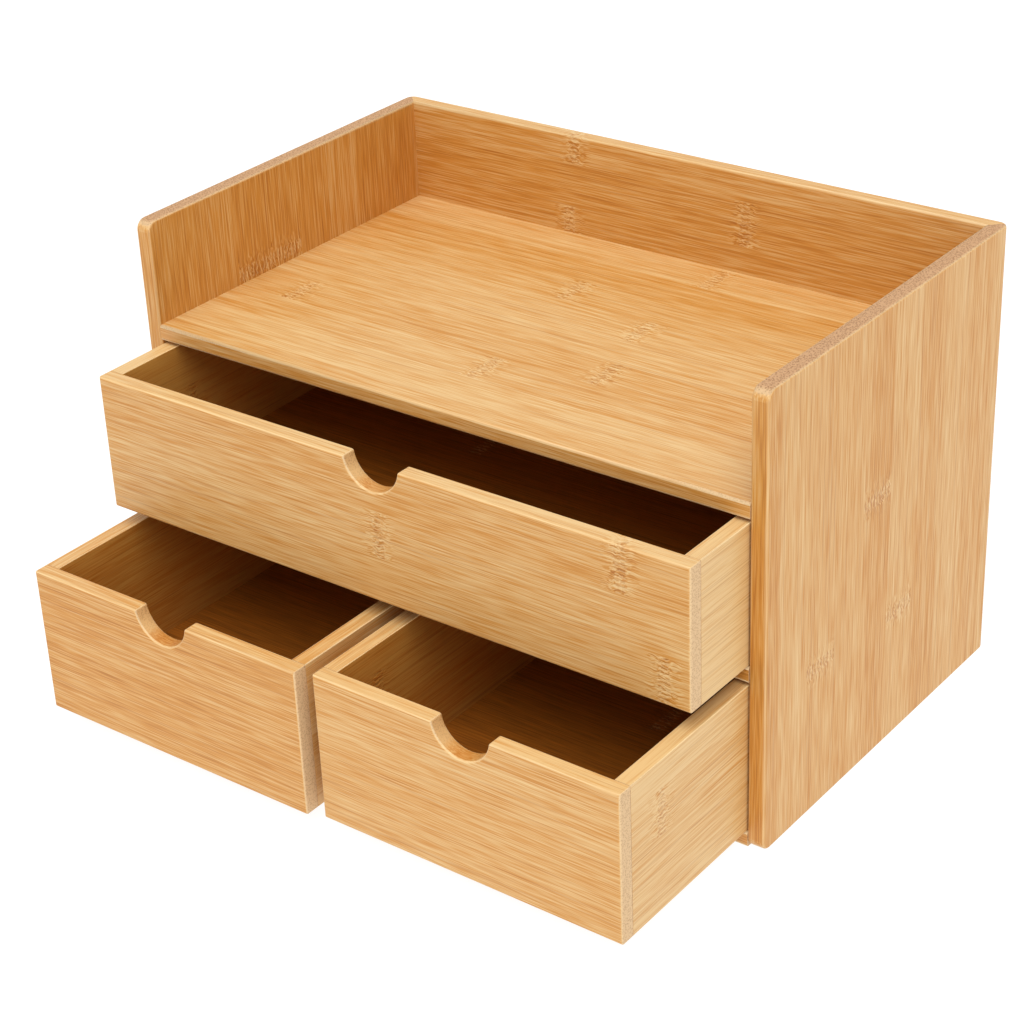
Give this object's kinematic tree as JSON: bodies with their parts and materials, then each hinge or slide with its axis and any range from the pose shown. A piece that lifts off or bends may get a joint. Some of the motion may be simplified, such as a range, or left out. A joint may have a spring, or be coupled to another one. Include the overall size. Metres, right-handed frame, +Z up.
{
  "type": "desk organizer",
  "caption": "Laminated bamboo desk organizer: an open tray with a raised rim over one wide drawer and a pair of half-width drawers with half-round finger notches.",
  "frame": {"origin": "middle of the case's underside, on the surface it stands on", "axes": "+X to the right, +Y to the back, +Z up; the drawers slide out along -Y"},
  "size_m": [0.33, 0.289, 0.212],
  "materials": {
    "bamboo_upright": "satin lacquer, upright grain",
    "bamboo_level": "satin lacquer, level grain",
    "bamboo_front": "satin lacquer, level grain",
    "bamboo_lengthwise": "satin lacquer, grain front to back",
    "bamboo_bottom": "thin bamboo ply, matt",
    "dowel_rod": "bare turned wood"
  },
  "bodies": {
    "case": {"side_left": "bamboo_upright", "side_right": "bamboo_upright", "back": "bamboo_level", "tray_board": "bamboo_level", "middle_shelf": "bamboo_level", "bottom_board": "bamboo_level", "divider": "bamboo_lengthwise", "tray_dowels": "dowel_rod", "middle_shelf_dowels": "dowel_rod", "bottom_board_dowels": "dowel_rod"},
    "upper_drawer": {"upper_front": "bamboo_front", "upper_side_left": "bamboo_lengthwise", "upper_side_right": "bamboo_lengthwise", "upper_back": "bamboo_front", "upper_bottom": "bamboo_bottom", "upper_dowels": "dowel_rod"},
    "lower_left_drawer": {"lower_left_front": "bamboo_front", "lower_left_side_left": "bamboo_lengthwise", "lower_left_side_right": "bamboo_lengthwise", "lower_left_back": "bamboo_front", "lower_left_bottom": "bamboo_bottom", "lower_left_dowels": "dowel_rod"},
    "lower_right_drawer": {"lower_right_front": "bamboo_front", "lower_right_side_left": "bamboo_lengthwise", "lower_right_side_right": "bamboo_lengthwise", "lower_right_back": "bamboo_front", "lower_right_bottom": "bamboo_bottom", "lower_right_dowels": "dowel_rod"}
  },
  "joints": [
    {"name": "upper_slide", "type": "slide", "parent": "case", "child": "upper_drawer", "axis": [0, -1, 0], "range_m": [-0.041, 0.084]},
    {"name": "lower_left_slide", "type": "slide", "parent": "case", "child": "lower_left_drawer", "axis": [0, -1, 0], "range_m": [-0.093, 0.032]},
    {"name": "lower_right_slide", "type": "slide", "parent": "case", "child": "lower_right_drawer", "axis": [0, -1, 0], "range_m": [-0.09, 0.035]}
  ]
}
